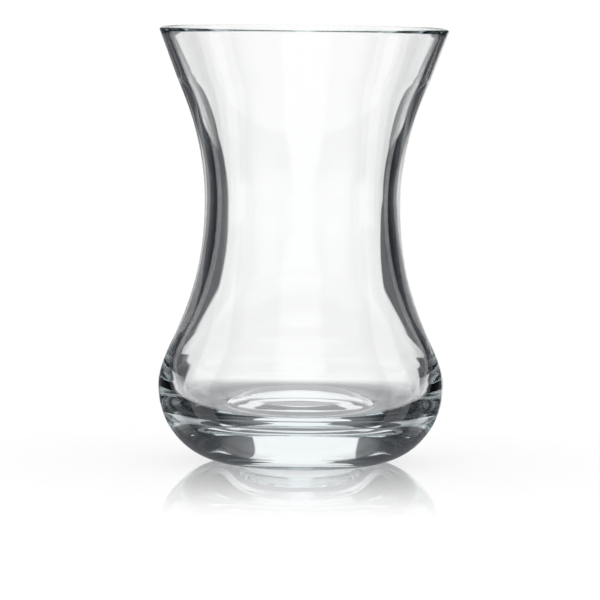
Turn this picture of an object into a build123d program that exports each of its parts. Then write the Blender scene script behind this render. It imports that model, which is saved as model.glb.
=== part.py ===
"""A thin-waisted tea glass, blown in a mould: one solid turned about the Z axis.

Millimetres, +Z up, origin at the centre of the base. The section is drawn at the
right of the axis as (radius, height) and revolved once.
"""

import math
import os

from build123d import *

# Outside sizes
height = 90.0            # base to top of the lip
rim_diameter = 59.8      # over the lip
waist_diameter = 40.6
waist_height = 53.7
belly_diameter = 59.2
belly_height = 15.9
foot_diameter = 32.8     # outer edge of the ring it stands on

# Flare below the lip
straight_depth = 10.4    # the wall runs straight this far down from the top
flare_angle = 20.6       # degrees from vertical, outside
inner_flare_angle = 23.0  # degrees from vertical, inside

# Walls
lip_thickness = 1.25     # the fire-polished lip, round in section
waist_wall = 2.6
belly_wall = 2.7
inner_belly_height = 18.0

# Inside of the heavy base: a low flat-topped rise within a rounded corner
floor_edge_thickness = 9.2
floor_rise = 1.2
floor_edge_diameter = 35.0
floor_top_diameter = 22.0
floor_rise_blend = 3.0   # reach of each half of the S-curve up to the flat top

# Underside
ring_width = 1.2         # flat band that touches the table
kick_depth = 1.3         # hollow inside that band

# How the side curves leave each height: shares of the gap that the curve spans
heel_angle = 9.4         # degrees from horizontal, just outside the ring
flare_pull = 0.138
waist_pull_up = 0.514
waist_pull_down = 0.60
shoulder_pull = 0.215
belly_pull_down = 0.568
heel_pull = 0.526
bowl_pull_down = 0.68
bowl_pull_in = 0.585

# Radii and points that follow from the sizes
lip_radius = lip_thickness / 2
waist_radius = waist_diameter / 2
belly_radius = belly_diameter / 2
foot_radius = foot_diameter / 2
ring_inner_radius = foot_radius - ring_width
floor_edge_radius = floor_edge_diameter / 2
floor_top_radius = floor_top_diameter / 2
floor_thickness = floor_edge_thickness + floor_rise
flare = math.radians(flare_angle)
inner_flare = math.radians(inner_flare_angle)
heel = math.radians(heel_angle)
lip_centre = (rim_diameter / 2 - lip_radius, height - lip_radius)


def down_wall(start, angle, end_height):
    """Where a straight wall leaning in by `angle` from `start` reaches `end_height`."""
    return (start[0] - (start[1] - end_height) * math.tan(angle), end_height)


def side_curve(top, top_angle, top_pull, bottom, bottom_pull):
    """One sweep of the side: leaves `top` leaning in by `top_angle`, arrives upright at `bottom`."""
    gap = top[1] - bottom[1]
    lead = down_wall(top, top_angle, top[1] - top_pull * gap)
    trail = (bottom[0], bottom[1] + bottom_pull * gap)
    Bezier(top, lead, trail, bottom)


# Where the round lip meets the wall, and where the wall stops being straight
lip_outside = (lip_centre[0] + lip_radius * math.cos(flare),
               lip_centre[1] - lip_radius * math.sin(flare))
lip_inside = (lip_centre[0] - lip_radius * math.cos(inner_flare),
              lip_centre[1] + lip_radius * math.sin(inner_flare))
lip_top = (lip_centre[0], height)
outer_flare_foot = down_wall(lip_outside, flare, height - straight_depth)
inner_flare_foot = down_wall(lip_inside, inner_flare, height - straight_depth)
outer_waist = (waist_radius, waist_height)
inner_waist = (waist_radius - waist_wall, waist_height)
outer_belly = (belly_radius, belly_height)
inner_belly = (belly_radius - belly_wall, inner_belly_height)
floor_edge = (floor_edge_radius, floor_edge_thickness)
floor_top = (floor_top_radius, floor_thickness)

with BuildPart() as glass:
    with BuildSketch(Plane.XZ) as section:
        with BuildLine() as outline:
            # Underside: a shallow hollow inside the flat ring
            Bezier((0, kick_depth), (ring_inner_radius / 2, kick_depth), (ring_inner_radius, 0))
            Line((ring_inner_radius, 0), (foot_radius, 0))
            # Heel, from the ring up to the belly
            heel_lead = heel_pull * (belly_radius - foot_radius)
            Bezier(
                (foot_radius, 0),
                (foot_radius + heel_lead * math.cos(heel), heel_lead * math.sin(heel)),
                (belly_radius, belly_height * (1 - belly_pull_down)),
                outer_belly,
            )
            # Outside: belly to waist, waist to flare, straight up to the lip
            side_curve(outer_waist, 0, waist_pull_down, outer_belly, shoulder_pull)
            side_curve(outer_flare_foot, flare, flare_pull, outer_waist, waist_pull_up)
            Line(outer_flare_foot, lip_outside)
            ThreePointArc(lip_outside, lip_top, lip_inside)
            # Inside, the same way down
            Line(lip_inside, inner_flare_foot)
            side_curve(inner_flare_foot, inner_flare, flare_pull, inner_waist, waist_pull_up)
            side_curve(inner_waist, 0, waist_pull_down, inner_belly, shoulder_pull)
            # The corner of the bowl, then the rise of the floor to its flat top
            Bezier(
                inner_belly,
                (inner_belly[0], inner_belly_height
                 - bowl_pull_down * (inner_belly_height - floor_edge_thickness)),
                (floor_edge_radius + bowl_pull_in * (inner_belly[0] - floor_edge_radius),
                 floor_edge_thickness),
                floor_edge,
            )
            Bezier(
                floor_edge,
                (floor_edge_radius - floor_rise_blend, floor_edge_thickness),
                (floor_top_radius + floor_rise_blend, floor_thickness),
                floor_top,
            )
            Line(floor_top, (0, floor_thickness))
            Line((0, floor_thickness), (0, kick_depth))
        make_face()
    revolve(axis=Axis.Z)

glass.part.label = "glass"
os.makedirs("parts", exist_ok=True)
export_step(glass.part, "parts/glass.step")
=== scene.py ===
"""Looks of a clear thin-waisted tea glass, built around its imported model.

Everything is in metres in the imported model's frame: +Z up along the axis of the glass,
origin at the centre of the flat ring that it stands on. The glass is one lathed surface
of clear soda-lime glass, mould blown and fire polished. The stage is a sheet of white
acrylic under white surroundings, with dark flags between the lit panels that give clear
glass its edges, and one camera.
"""

import logging
import math
from dataclasses import dataclass, field
from enum import Enum
from typing import Any

import bpy
import numpy as np
from mathutils import Matrix, Vector


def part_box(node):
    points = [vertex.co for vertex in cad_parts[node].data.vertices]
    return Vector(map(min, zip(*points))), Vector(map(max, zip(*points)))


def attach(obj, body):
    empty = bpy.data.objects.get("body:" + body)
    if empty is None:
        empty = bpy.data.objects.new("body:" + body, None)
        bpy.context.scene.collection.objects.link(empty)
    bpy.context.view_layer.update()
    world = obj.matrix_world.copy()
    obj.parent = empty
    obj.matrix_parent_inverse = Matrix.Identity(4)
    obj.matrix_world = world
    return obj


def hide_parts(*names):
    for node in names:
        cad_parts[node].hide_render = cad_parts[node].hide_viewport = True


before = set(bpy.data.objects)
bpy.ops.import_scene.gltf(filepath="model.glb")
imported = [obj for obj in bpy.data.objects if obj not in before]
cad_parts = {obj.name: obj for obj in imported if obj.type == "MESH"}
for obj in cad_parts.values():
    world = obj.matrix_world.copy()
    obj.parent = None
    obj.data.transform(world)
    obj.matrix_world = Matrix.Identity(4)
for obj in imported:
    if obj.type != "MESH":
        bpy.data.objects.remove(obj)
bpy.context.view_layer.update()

log = logging.getLogger("tea_glass")
MM = 0.001
LIGHT_BOUNCES = 48     # enough for light that runs down the wall from the near rim
MATH = "ShaderNodeMath"
RANGE = "ShaderNodeMapRange"
SMOOTH = {"interpolation_type": "SMOOTHSTEP"}
Points = tuple[tuple[float, float], ...]


def linear(hex_colour: str) -> tuple[float, float, float, float]:
    """Turns an sRGB hex colour into the linear RGBA that shaders take.

    Args:
        hex_colour: colour as "#RRGGBB".

    Returns:
        Red, green, blue and alpha, linear, alpha 1.
    """
    srgb = np.array([int(hex_colour[i:i + 2], 16) for i in (1, 3, 5)]) / 255.0
    rgb = np.where(srgb <= 0.04045, srgb / 12.92, ((srgb + 0.055) / 1.055) ** 2.4)
    return (*(float(channel) for channel in rgb), 1.0)


def add_node(
    tree: bpy.types.NodeTree,
    kind: str,
    inputs: dict[str | int, Any] | None = None,
    **settings: Any,
) -> bpy.types.Node:
    """Adds one shader node with its settings and its links.

    Args:
        tree: node tree that takes the node.
        kind: node type, such as "ShaderNodeMath".
        inputs: what goes into each input socket, given by its name or number: an output
            socket, a node, which stands for its first output, or a plain value.
        settings: attributes of the node itself.

    Returns:
        The new node.
    """
    node = tree.nodes.new(kind)
    for name, value in settings.items():
        setattr(node, name, value)
    for key, value in (inputs or {}).items():
        if isinstance(value, bpy.types.Node):
            value = value.outputs[0]
        if isinstance(value, bpy.types.NodeSocket):
            tree.links.new(value, node.inputs[key])
        else:
            node.inputs[key].default_value = value
    return node


def fill_ramp(
    ramp: bpy.types.Node,
    places: tuple[float, ...],
    colours: list[tuple[float, float, float, float]],
) -> None:
    """Sets a colour ramp's stops, with the first place at its start and the last at its end.

    Args:
        ramp: the Color Ramp node.
        places: where the stops lie, rising.
        colours: their linear RGBA colours.
    """
    elements = ramp.color_ramp.elements
    while len(elements) < len(places):
        elements.new(0.5)
    for element, place, colour in zip(elements, places, colours):
        element.position = (place - places[0]) / (places[-1] - places[0])
        element.color = colour


def piecewise(
    tree: bpy.types.NodeTree,
    value: bpy.types.Node,
    points: Points,
) -> bpy.types.Node:
    """A number that follows straight lines between points, level beyond them: a grey ramp
    from the least height to the greatest, read at value.

    Args:
        tree: node tree that takes the nodes.
        value: node with the place.
        points: (place, height) pairs, places rising.

    Returns:
        The node with the height.
    """
    places, heights = zip(*points)
    least, most = min(heights), max(heights)
    along = add_node(tree, RANGE, {"Value": value, "From Min": places[0], "From Max": places[-1]})
    ramp = add_node(tree, "ShaderNodeValToRGB", {0: along})
    shares = [(height - least) / (most - least) for height in heights]
    fill_ramp(ramp, places, [(share, share, share, 1.0) for share in shares])
    return add_node(tree, RANGE, {"Value": ramp, "To Min": least, "To Max": most})


@dataclass(frozen=True)
class Step:
    """A smooth step: it holds start up to the place low, and end from the place high on."""

    low: float
    high: float
    start: float = 0.0
    end: float = 1.0

    def inputs(self, place: bpy.types.Node | bpy.types.NodeSocket) -> dict[str, Any]:
        """What a Map Range node needs to read the step at a place."""
        return {"Value": place, "From Min": self.low, "From Max": self.high,
                "To Min": self.start, "To Max": self.end}


class Seen(Enum):
    """What kind of ray sees a surface: names of Light Path outputs."""

    GLOSS = "Is Glossy Ray"
    GLASS = "Is Transmission Ray"


def bezier(start: np.ndarray, lead: np.ndarray, trail: np.ndarray, end: np.ndarray,
           steps: int) -> np.ndarray:
    """Points of a cubic curve: start (1-t)^3 + 3 lead t (1-t)^2 + 3 trail t^2 (1-t) + end t^3.

    Args:
        start, lead, trail, end: control points as (radius, height).
        steps: number of equal steps in t.

    Returns:
        Array of steps points; the end point itself is left to the next curve.
    """
    t = np.linspace(0.0, 1.0, steps, endpoint=False)[:, None]
    u = 1.0 - t
    return u ** 3 * start + 3 * t * u ** 2 * lead + 3 * t ** 2 * u * trail + t ** 3 * end


@dataclass(frozen=True)
class SodaLimeGlass:
    """Clear soda-lime glass, mould blown and fire polished: hard bright edges, a faint
    blue-green body colour where the base is thick, and a slight waviness from the mould."""

    name: str = "clear_soda_lime_glass"
    colour: str = "#FFFFFF"
    ior: float = 1.52
    roughness: float = 0.0
    body_colour: str = "#CFE6EA"
    body_density: float = 6.0      # per metre: a few percent over the base
    wave_length: float = 0.012     # metres: the mould's chill leaves soft swells this wide
    wave_height: float = 0.00002   # metres: and fire polishing leaves them this high

    def material(self) -> bpy.types.Material:
        """Builds the material.

        Returns:
            The material, with clear absorbing glass inside its surface.
        """
        material = bpy.data.materials.new(self.name)
        material.use_nodes = True
        tree = material.node_tree
        tree.nodes.clear()
        place = add_node(tree, "ShaderNodeTexCoord")
        swells = add_node(tree, "ShaderNodeTexNoise", {
            "Vector": place.outputs["Object"], "Scale": 1.0 / self.wave_length, "Detail": 1.0})
        waves = add_node(tree, "ShaderNodeBump", {
            "Height": swells, "Distance": self.wave_height})
        surface = add_node(tree, "ShaderNodeBsdfPrincipled", {
            "Base Color": linear(self.colour),
            "Roughness": self.roughness,
            "IOR": self.ior,
            "Transmission Weight": 1.0,
            "Normal": waves,
        })
        body = add_node(tree, "ShaderNodeVolumeAbsorption", {
            "Color": linear(self.body_colour),
            "Density": self.body_density,
        })
        add_node(tree, "ShaderNodeOutputMaterial", {"Surface": surface, "Volume": body})
        return material


@dataclass
class TeaGlass:
    """The glass, in millimetres: one surface turned about the Z axis."""

    height: float = 90.0
    rim_diameter: float = 59.8
    waist_diameter: float = 40.6
    waist_height: float = 53.7
    belly_diameter: float = 59.2
    belly_height: float = 15.9
    foot_diameter: float = 32.8
    straight_depth: float = 10.4
    flare_angle: float = 20.6
    inner_flare_angle: float = 23.0
    lip_thickness: float = 1.25
    waist_wall: float = 2.6
    belly_wall: float = 2.7
    inner_belly_height: float = 18.0
    floor_edge_thickness: float = 9.2
    floor_rise: float = 1.2
    floor_edge_diameter: float = 35.0
    floor_top_diameter: float = 22.0
    floor_rise_blend: float = 3.0
    ring_width: float = 1.2
    kick_depth: float = 1.3
    heel_angle: float = 9.4
    flare_pull: float = 0.138
    waist_pull_up: float = 0.514
    waist_pull_down: float = 0.60
    shoulder_pull: float = 0.215
    belly_pull_down: float = 0.568
    heel_pull: float = 0.526
    bowl_pull_down: float = 0.68
    bowl_pull_in: float = 0.585
    # Points around the axis, and along each curve of the section
    around: int = 240
    hollow_points: int = 16
    heel_points: int = 46
    shoulder_points: int = 70
    flare_points: int = 40
    straight_points: int = 10
    lip_points: int = 21
    inner_shoulder_points: int = 60
    bowl_points: int = 46
    rise_points: int = 24
    ring_shares: tuple[float, ...] = (0.0, 0.06, 0.5, 0.94)    # close to the ring's edges
    floor_shares: tuple[float, ...] = (0.0, 0.1, 0.5, 1.0)     # close to the rise's edge
    finish: SodaLimeGlass = field(default_factory=SodaLimeGlass)

    @staticmethod
    def down_wall(start: np.ndarray, angle: float, end_height: float) -> np.ndarray:
        """The wall's point at end_height: its radius falls by the drop times its lean's tangent."""
        return np.array([start[0] - (start[1] - end_height) * math.tan(angle), end_height])

    def side(self, top: np.ndarray, angle: float, top_pull: float, bottom: np.ndarray,
             bottom_pull: float, steps: int) -> np.ndarray:
        """One sweep of the side, from top down to bottom.

        Args:
            top, bottom: ends as (radius, height).
            angle: how far from upright the curve leans at the top, in radians.
            top_pull, bottom_pull: handle heights as shares of the gap between the ends.
            steps: number of points.

        Returns:
            Points from top towards bottom, where the curve arrives upright.
        """
        gap = top[1] - bottom[1]
        lead = self.down_wall(top, angle, top[1] - top_pull * gap)
        trail = np.array([bottom[0], bottom[1] + bottom_pull * gap])
        return bezier(top, lead, trail, bottom, steps)

    def profile(self) -> np.ndarray:
        """The section right of the axis, from the middle of the underside, up the outside,
        over the lip and down the inside to the middle of the floor.

        Returns:
            Array of (radius, height) points in millimetres.
        """
        flare, inner_flare = math.radians(self.flare_angle), math.radians(self.inner_flare_angle)
        heel = math.radians(self.heel_angle)
        lip = self.lip_thickness / 2
        lip_centre = np.array([self.rim_diameter / 2 - lip, self.height - lip])
        out_lip = lip_centre + lip * np.array([math.cos(flare), -math.sin(flare)])
        in_lip = lip_centre + lip * np.array([-math.cos(inner_flare), math.sin(inner_flare)])
        straight_end = self.height - self.straight_depth
        out_flare = self.down_wall(out_lip, flare, straight_end)
        in_flare = self.down_wall(in_lip, inner_flare, straight_end)
        out_waist = np.array([self.waist_diameter / 2, self.waist_height])
        in_waist = out_waist - [self.waist_wall, 0.0]
        out_belly = np.array([self.belly_diameter / 2, self.belly_height])
        in_belly = np.array([out_belly[0] - self.belly_wall, self.inner_belly_height])
        foot = np.array([self.foot_diameter / 2, 0.0])
        ring = foot - [self.ring_width, 0.0]
        kick = np.array([0.0, self.kick_depth])
        edge = np.array([self.floor_edge_diameter / 2, self.floor_edge_thickness])
        rise = np.array([self.floor_top_diameter / 2, self.floor_edge_thickness + self.floor_rise])
        middle = np.array([0.0, rise[1]])

        heel_lead = self.heel_pull * (out_belly[0] - foot[0])
        around_lip = np.linspace(-flare, math.pi - inner_flare, self.lip_points,
                                 endpoint=False)[:, None]
        along = np.linspace(0.0, 1.0, self.straight_points, endpoint=False)[:, None]
        across_ring = np.array(self.ring_shares)[:, None]
        across_floor = np.array(self.floor_shares)[:, None]
        belly_down = self.bowl_pull_down * (in_belly[1] - edge[1])
        curves = [
            # underside: the hollow, then the flat ring
            self.hollow(kick, ring),
            ring + (foot - ring) * across_ring,
            # outside: heel, belly to waist, waist to flare, straight flare
            bezier(foot, foot + heel_lead * np.array([math.cos(heel), math.sin(heel)]),
                   out_belly * [1.0, 1 - self.belly_pull_down], out_belly, self.heel_points),
            self.side(out_waist, 0.0, self.waist_pull_down, out_belly, self.shoulder_pull,
                      self.shoulder_points)[:0:-1],
            self.side(out_flare, flare, self.flare_pull, out_waist, self.waist_pull_up,
                      self.flare_points)[:0:-1],
            out_flare + (out_lip - out_flare) * along,
            # the round lip
            lip_centre + lip * np.hstack([np.cos(around_lip), np.sin(around_lip)]),
            # inside: straight flare, flare to waist, waist to belly, bowl
            in_lip + (in_flare - in_lip) * along,
            self.side(in_flare, inner_flare, self.flare_pull, in_waist, self.waist_pull_up,
                      self.flare_points),
            self.side(in_waist, 0.0, self.waist_pull_down, in_belly, self.shoulder_pull,
                      self.inner_shoulder_points),
            bezier(in_belly, in_belly - [0.0, belly_down],
                   edge + [self.bowl_pull_in * (in_belly[0] - edge[0]), 0.0], edge,
                   self.bowl_points),
            # floor: the low rise and its flat top
            bezier(edge, edge - [self.floor_rise_blend, 0.0], rise + [self.floor_rise_blend, 0.0],
                   rise, self.rise_points),
            rise + (middle - rise) * across_floor,
        ]
        return np.vstack(curves)

    def hollow(self, kick: np.ndarray, ring: np.ndarray) -> np.ndarray:
        """The hollow under the base, a three-point curve from its middle to the ring:
        kick (1-t)^2 + 2 t (1-t) (half the ring's radius, the kick's height) + ring t^2.

        Args:
            kick: the middle of the hollow, as (radius, height).
            ring: the ring's inner edge.

        Returns:
            Points from the middle towards the ring.
        """
        t = np.linspace(0.0, 1.0, self.hollow_points, endpoint=False)[:, None]
        bend = np.array([ring[0] / 2, kick[1]])
        return (1 - t) ** 2 * kick + 2 * t * (1 - t) * bend + t ** 2 * ring

    def build(self) -> bpy.types.Object:
        """Turns the profile about the axis into one closed mesh and dresses it.

        A point of the mesh is (r cos a, r sin a, z), with (r, z) down the rows and the
        bearing a along the columns; each end of the profile is one point on the axis.

        Returns:
            The object, at the origin.
        """
        section = self.profile() * MM
        rows, columns = len(section) - 2, self.around
        bearing = np.linspace(0.0, 2 * math.pi, columns, endpoint=False)
        radius, level = section[1:-1, :1], section[1:-1, 1:]
        points = np.stack([radius * np.cos(bearing), radius * np.sin(bearing),
                           level + 0 * bearing], axis=-1).reshape(-1, 3)
        points = np.vstack([points, [[0, 0, section[0, 1]], [0, 0, section[-1, 1]]]])
        across = np.arange(columns)
        following = (across + 1) % columns
        low = np.arange(rows - 1)[:, None] * columns
        walls = np.stack([low + across, low + following, low + columns + following,
                          low + columns + across], axis=-1).reshape(-1, 4)
        last = (rows - 1) * columns
        under = np.stack([np.full(columns, rows * columns), following, across], axis=-1)
        floor = np.stack([np.full(columns, rows * columns + 1), last + across,
                          last + following], axis=-1)
        mesh = bpy.data.meshes.new("tea_glass")
        mesh.from_pydata(points.tolist(), [], walls.tolist() + under.tolist() + floor.tolist())
        mesh.polygons.foreach_set("use_smooth", np.ones(len(mesh.polygons), dtype=bool))
        mesh.update()
        mesh.materials.append(self.finish.material())
        piece = bpy.data.objects.new("tea_glass", mesh)
        bpy.context.scene.collection.objects.link(piece)
        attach(piece, "root")
        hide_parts("glass")
        return piece


@dataclass(frozen=True)
class Surroundings:
    """White surroundings. Glass and gloss see them as a light tent: lit panels, dark flags
    between them, a soft white ceiling and a white floor. Everything else sees plain white.
    Angles are in degrees: bearing from +Y towards +X, and elevation above the horizon.

    The tent is set for a camera on the Y axis. It stays white straight through the glass
    only along the panels and windows below. From bearings between them the flags show
    through, and the glass looks smoked."""

    white: str = "#FFFFFF"
    # The back panel: bearings where it ends, left and right, by elevation
    left_edge: Points = (
        (-21.0, 9.0), (-10.5, 8.0), (-8.5, 13.0), (-3.0, 13.0), (1.0, 9.5), (6.0, 12.0),
        (10.0, 18.0), (24.0, 22.0))
    right_edge: Points = (
        (-23.0, 13.2), (-15.5, 11.3), (-12.0, 9.6), (-10.5, 9.5), (-8.5, 17.0), (-4.0, 19.5),
        (1.0, 9.5), (8.0, 13.0), (24.0, 20.0))
    # The flags: colour by degrees past that edge
    flags: tuple[tuple[float, str], ...] = (
        (-2.0, "#FFFFFF"), (-0.4, "#FFFFFF"), (0.8, "#6B6C6F"), (9.0, "#6A6B6E"),
        (16.0, "#4C4E52"), (24.0, "#36393D"), (36.0, "#282B30"), (70.0, "#1B1F24"))
    right_pull: float = 1.3                       # the right flag darkens sooner
    flag_start: Step = Step(0.2, 1.2)             # degrees past the edge: on the flag itself
    deeper: Step = Step(2.0, 9.0, 0.0, 9.0)       # elevation: degrees past the edge to add
    # Ceiling and floor: 1 on the flags and 0 on the white, by elevation
    ceiling: Step = Step(42.0, 70.0, 1.0, 0.0)
    floor: Step = Step(-38.0, -24.0)
    floor_drop: Step = Step(34.0, 58.0, 0.0, 8.0)     # turn: degrees by which it starts lower
    # Side panels: their turn from the Y axis, then their light by elevation
    side_panel: Step = Step(77.0, 79.0)
    side_top: Step = Step(0.0, 2.5, 1.0, 0.0)
    side_foot: Step = Step(-15.0, -9.0, 0.6, 1.0)
    side_floor: Step = Step(-30.0, -24.0, 1.0, 0.0)
    # Low windows between the panels: degrees off their turn, then elevation
    corner_turn: float = 45.0
    corner_gap: Step = Step(8.0, 16.0, 1.0, 0.0)
    corner_top: Step = Step(-19.5, -17.5, 1.0, 0.0)
    corner_top_behind: Step = Step(-10.0, -6.0, 1.0, 0.0)
    # The camera's side, white to gloss, with softer flags for glass that are paler low down
    behind: Step = Step(-0.5, -0.2, 1.0, 0.0)     # the direction's share of +Y
    behind_flags: Step = Step(0.0, 8.0)           # degrees past the edge
    behind_rise: Step = Step(0.0, 14.0, 0.3, 1.0)     # elevation

    def build(self) -> None:
        """Builds the world's shader: the darkness of the flags, from 0 to 1, is the product
        of what the ceiling, floor, side panels, corners and camera's side leave of it."""
        world = bpy.data.worlds.new("white_surroundings")
        bpy.context.scene.world = world
        world.use_nodes = True
        tree = world.node_tree
        tree.nodes.clear()
        path = add_node(tree, "ShaderNodeLightPath")
        refracted = path.outputs[Seen.GLASS.value]

        # Direction as elevation and as turn from the Y axis, 0 to 90 degrees
        direction = add_node(tree, "ShaderNodeTexCoord").outputs["Generated"]
        east, north, up = add_node(tree, "ShaderNodeSeparateXYZ", {0: direction}).outputs
        slope = add_node(tree, MATH, {0: up}, operation="ARCSINE")
        elevation = add_node(tree, MATH, {0: slope}, operation="DEGREES")
        aside = add_node(tree, MATH, {0: east}, operation="ABSOLUTE")
        along = add_node(tree, MATH, {0: north}, operation="ABSOLUTE")
        angle = add_node(tree, MATH, {0: aside, 1: along}, operation="ARCTAN2")
        turn = add_node(tree, MATH, {0: angle}, operation="DEGREES")
        is_behind = add_node(tree, RANGE, self.behind.inputs(north), **SMOOTH)

        # Degrees past the panel's edge, and the colour of the flag there
        hand = add_node(tree, MATH, {0: east}, operation="SIGN")
        right = add_node(tree, MATH, {0: turn, 1: hand}, operation="MULTIPLY")
        left = add_node(tree, MATH, {0: right, 1: -1.0}, operation="MULTIPLY")
        right_end = piecewise(tree, elevation, self.right_edge)
        left_end = piecewise(tree, elevation, self.left_edge)
        beyond = add_node(tree, MATH, {0: right, 1: right_end}, operation="SUBTRACT")
        past_right = add_node(tree, MATH, {0: self.right_pull, 1: beyond}, operation="MULTIPLY")
        past_left = add_node(tree, MATH, {0: left, 1: left_end}, operation="SUBTRACT")
        past = add_node(tree, MATH, {0: past_right, 1: past_left}, operation="MAXIMUM")
        on_flag = add_node(tree, RANGE, self.flag_start.inputs(past), **SMOOTH)
        by_height = add_node(tree, RANGE, self.deeper.inputs(elevation), **SMOOTH)
        extra = add_node(tree, MATH, {0: on_flag, 1: by_height}, operation="MULTIPLY")
        reach = add_node(tree, MATH, {0: past, 1: extra}, operation="ADD")
        places, colours = zip(*self.flags)
        share = add_node(tree, RANGE, {
            "Value": reach, "From Min": places[0], "From Max": places[-1]})
        flags = add_node(tree, "ShaderNodeValToRGB", {0: share})
        fill_ramp(flags, places, [linear(colour) for colour in colours])

        # Ceiling and floor
        above = add_node(tree, RANGE, self.ceiling.inputs(elevation), **SMOOTH)
        drop = add_node(tree, RANGE, self.floor_drop.inputs(turn), **SMOOTH)
        lifted = add_node(tree, MATH, {0: elevation, 1: drop}, operation="ADD")
        below = add_node(tree, RANGE, self.floor.inputs(lifted), **SMOOTH)
        level = add_node(tree, MATH, {0: above, 1: below}, operation="MULTIPLY")

        # Side panels: gloss sees their whole height
        side_turn = add_node(tree, RANGE, self.side_panel.inputs(turn), **SMOOTH)
        top = add_node(tree, RANGE, self.side_top.inputs(elevation), **SMOOTH)
        foot = add_node(tree, RANGE, self.side_foot.inputs(elevation), **SMOOTH)
        side_low = add_node(tree, RANGE, self.side_floor.inputs(elevation), **SMOOTH)
        not_glass = add_node(tree, MATH, {0: 1.0, 1: refracted}, operation="SUBTRACT")
        middle = add_node(tree, MATH, {0: top, 1: foot}, operation="MULTIPLY")
        lit = add_node(tree, MATH, {0: side_low, 1: middle}, operation="MAXIMUM")
        height = add_node(tree, MATH, {0: not_glass, 1: lit}, operation="MAXIMUM")
        side = add_node(tree, MATH, {0: side_turn, 1: height}, operation="MULTIPLY")

        # Corner windows
        off = add_node(tree, MATH, {0: turn, 1: self.corner_turn}, operation="SUBTRACT")
        off_size = add_node(tree, MATH, {0: off}, operation="ABSOLUTE")
        in_gap = add_node(tree, RANGE, self.corner_gap.inputs(off_size), **SMOOTH)
        low_corner = add_node(tree, RANGE, self.corner_top.inputs(elevation), **SMOOTH)
        back_corner = add_node(tree, RANGE, self.corner_top_behind.inputs(elevation), **SMOOTH)
        back_only = add_node(tree, MATH, {0: is_behind, 1: back_corner}, operation="MULTIPLY")
        window = add_node(tree, MATH, {0: low_corner, 1: back_only}, operation="MAXIMUM")
        corner = add_node(tree, MATH, {0: in_gap, 1: window}, operation="MULTIPLY")

        # The camera's side
        flagged = add_node(tree, RANGE, self.behind_flags.inputs(past), **SMOOTH)
        rising = add_node(tree, RANGE, self.behind_rise.inputs(elevation), **SMOOTH)
        to_glass = add_node(tree, MATH, {0: refracted, 1: rising}, operation="MULTIPLY")
        kept = add_node(tree, MATH, {0: to_glass, 1: flagged}, operation="MULTIPLY")
        pale = add_node(tree, MATH, {0: 1.0, 1: kept}, operation="SUBTRACT")
        lighter = add_node(tree, MATH, {0: is_behind, 1: pale}, operation="MULTIPLY")

        windows = add_node(tree, MATH, {0: side, 1: corner}, operation="MAXIMUM")
        unlit = add_node(tree, MATH, {0: 1.0, 1: windows}, operation="SUBTRACT")
        full = add_node(tree, MATH, {0: 1.0, 1: lighter}, operation="SUBTRACT")
        shut = add_node(tree, MATH, {0: unlit, 1: full}, operation="MULTIPLY")
        dark = add_node(tree, MATH, {0: level, 1: shut}, operation="MULTIPLY")
        tent = add_node(tree, "ShaderNodeMix", {
            0: dark, 6: linear(self.white), 7: flags}, data_type="RGBA")
        in_glass = add_node(tree, MATH, {
            0: path.outputs[Seen.GLOSS.value], 1: refracted}, operation="MAXIMUM")
        seen = add_node(tree, "ShaderNodeMix", {
            0: in_glass, 6: linear(self.white), 7: tent.outputs[2]}, data_type="RGBA")
        background = add_node(tree, "ShaderNodeBackground", {"Color": seen.outputs[2]})
        add_node(tree, "ShaderNodeOutputWorld", {"Surface": background})


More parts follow.
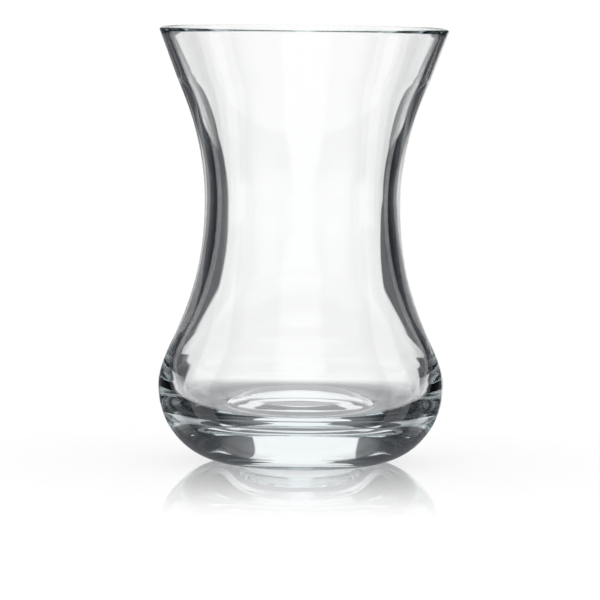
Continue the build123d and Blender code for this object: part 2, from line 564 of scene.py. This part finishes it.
@dataclass(frozen=True)
class WhiteAcrylic:
    """White acrylic sheet, cast and polished: white, with a soft mirror image close to what
    stands on it. Under the glass it carries a painted shade, a grey patch of emission that only
    glass and gloss see, standing in for the glass's contact shadow and its dark reflection.
    Distances are in metres from the axis; a lean is 0 seen from straight above and 1 along
    the sheet."""

    name: str = "white_acrylic"
    colour: str = "#C8C8C8"
    lift: float = 0.46             # brings the sheet to white for the camera
    mirror: str = "#FFFFFF"
    mirror_reach: Step = Step(0.018, 0.105, 0.55, 0.0)
    mirror_lean: Step = Step(0.5, 0.9)
    # What glass and gloss see of the sheet: a painted shade under the glass, a grey patch for its
    # contact shadow, and past it the tent
    shade: str = "#7C7D80"
    shade_reach: Step = Step(0.024, 0.044, 1.0, 0.0)
    shade_lean: Step = Step(0.18, 0.25)
    shade_limit: Step = Step(0.27, 0.33, 1.0, 0.0)    # rays through glass that lean more pass by

    def material(self) -> bpy.types.Material:
        """Builds the material.

        Returns:
            The material: the sheet for the camera, and its painted shade under the glass for glass and
                gloss.
        """
        material = bpy.data.materials.new(self.name)
        material.use_nodes = True
        tree = material.node_tree
        tree.nodes.clear()
        path = add_node(tree, "ShaderNodeLightPath")
        place = add_node(tree, "ShaderNodeTexCoord").outputs["Object"]
        reach = add_node(tree, "ShaderNodeVectorMath", {0: place}, operation="LENGTH").outputs["Value"]
        lean = add_node(tree, "ShaderNodeLayerWeight").outputs["Facing"]

        body = add_node(tree, "ShaderNodeBsdfDiffuse", {"Color": linear(self.colour)})
        lift = add_node(tree, "ShaderNodeEmission", {"Strength": self.lift})
        sheet = add_node(tree, "ShaderNodeAddShader", {0: body, 1: lift})
        mirror = add_node(tree, "ShaderNodeBsdfGlossy", {
            "Color": linear(self.mirror), "Roughness": 0.0})
        near = add_node(tree, RANGE, self.mirror_reach.inputs(reach), **SMOOTH)
        flat = add_node(tree, RANGE, self.mirror_lean.inputs(lean), **SMOOTH)
        amount = add_node(tree, MATH, {0: near, 1: flat}, operation="MULTIPLY")
        top = add_node(tree, "ShaderNodeMixShader", {0: amount, 1: sheet, 2: mirror})

        # Painted shade: a grey emission patch under the glass, seen only by glass and gloss rays,
        # standing in for the glass's contact shadow and dark reflection
        shade = add_node(tree, "ShaderNodeEmission", {"Color": linear(self.shade)})
        clear = add_node(tree, "ShaderNodeBsdfTransparent")
        under = add_node(tree, RANGE, self.shade_reach.inputs(reach), **SMOOTH)
        leaning = add_node(tree, RANGE, self.shade_lean.inputs(lean), **SMOOTH)
        steep = add_node(tree, RANGE, self.shade_limit.inputs(lean), **SMOOTH)
        seen = add_node(tree, MATH, {0: steep, 1: path.outputs[Seen.GLOSS.value]}, operation="MAXIMUM")
        patch = add_node(tree, MATH, {0: under, 1: leaning}, operation="MULTIPLY")
        shaded = add_node(tree, MATH, {0: patch, 1: seen}, operation="MULTIPLY")
        below = add_node(tree, "ShaderNodeMixShader", {0: shaded, 1: clear, 2: shade})

        in_glass = add_node(tree, MATH, {
            0: path.outputs[Seen.GLOSS.value], 1: path.outputs[Seen.GLASS.value]}, operation="MAXIMUM")
        whole = add_node(tree, "ShaderNodeMixShader", {0: in_glass, 1: top, 2: below})
        add_node(tree, "ShaderNodeOutputMaterial", {"Surface": whole})
        return material


@dataclass
class Stage:
    """The floor: one flat sheet, far wider than the view."""

    half_width: float = 30.0
    finish: WhiteAcrylic = field(default_factory=WhiteAcrylic)

    def build(self) -> bpy.types.Object:
        """Makes the floor: a square of the plane z = 0 about the axis.

        Returns:
            The floor object.
        """
        corners = self.half_width * np.array([[-1, -1, 0], [1, -1, 0], [1, 1, 0], [-1, 1, 0]])
        mesh = bpy.data.meshes.new("floor")
        mesh.from_pydata(corners.tolist(), [], [(0, 1, 2, 3)])
        mesh.materials.append(self.finish.material())
        floor = bpy.data.objects.new("floor", mesh)
        bpy.context.scene.collection.objects.link(floor)
        return floor


@dataclass(frozen=True)
class ProductCamera:
    """A long lens a little above the rim, looking slightly down. Distances are shares of
    the height of the glass; angles are in degrees."""

    distance: float = 10.7
    height: float = 1.22
    pitch: float = 4.526
    yaw: float = 0.0185
    roll: float = 0.6              # the glass leans a hair to the right in the frame
    lens: float = 279.6            # millimetres
    sensor: float = 36.0           # millimetres
    clip_end: float = 100.0        # metres

    def build(self, glass_height: float) -> bpy.types.Object:
        """Makes the camera and sets it as the scene's.

        Args:
            glass_height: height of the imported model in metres.

        Returns:
            The camera object.
        """
        data = bpy.data.cameras.new("camera")
        data.lens, data.sensor_width, data.clip_end = self.lens, self.sensor, self.clip_end
        camera = bpy.data.objects.new("camera", data)
        bpy.context.scene.collection.objects.link(camera)
        turn = (Matrix.Rotation(math.radians(self.yaw), 4, "Z")
                @ Matrix.Rotation(math.radians(90.0 - self.pitch), 4, "X")
                @ Matrix.Rotation(math.radians(self.roll), 4, "Z"))
        place = Vector((0.0, -self.distance * glass_height, self.height * glass_height))
        camera.matrix_world = Matrix.Translation(place) @ turn
        bpy.context.scene.camera = camera
        return camera


def set_view() -> None:
    """Plain colours, and enough bounces for light to cross the glass several times."""
    scene = bpy.context.scene
    scene.view_settings.view_transform = "Standard"
    scene.cycles.max_bounces = LIGHT_BOUNCES
    scene.cycles.transmission_bounces = LIGHT_BOUNCES
    scene.cycles.glossy_bounces = LIGHT_BOUNCES
    scene.cycles.use_denoising = True


def main() -> None:
    """Builds the camera, the stage, the surroundings and the glass, in that order."""
    logging.basicConfig(level=logging.INFO, format="%(name)s: %(message)s")
    low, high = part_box("glass")
    set_view()
    camera = ProductCamera().build(high.z - low.z)
    floor = Stage().build()
    Surroundings().build()
    glass = TeaGlass().build()
    log.info("%s: lens %.1f mm", camera.name, camera.data.lens)
    for piece in (floor, glass):
        log.info("%s: %d points, %d faces", piece.name, len(piece.data.vertices),
                 len(piece.data.polygons))
    bpy.context.view_layer.update()


if __name__ == "__main__":
    main()
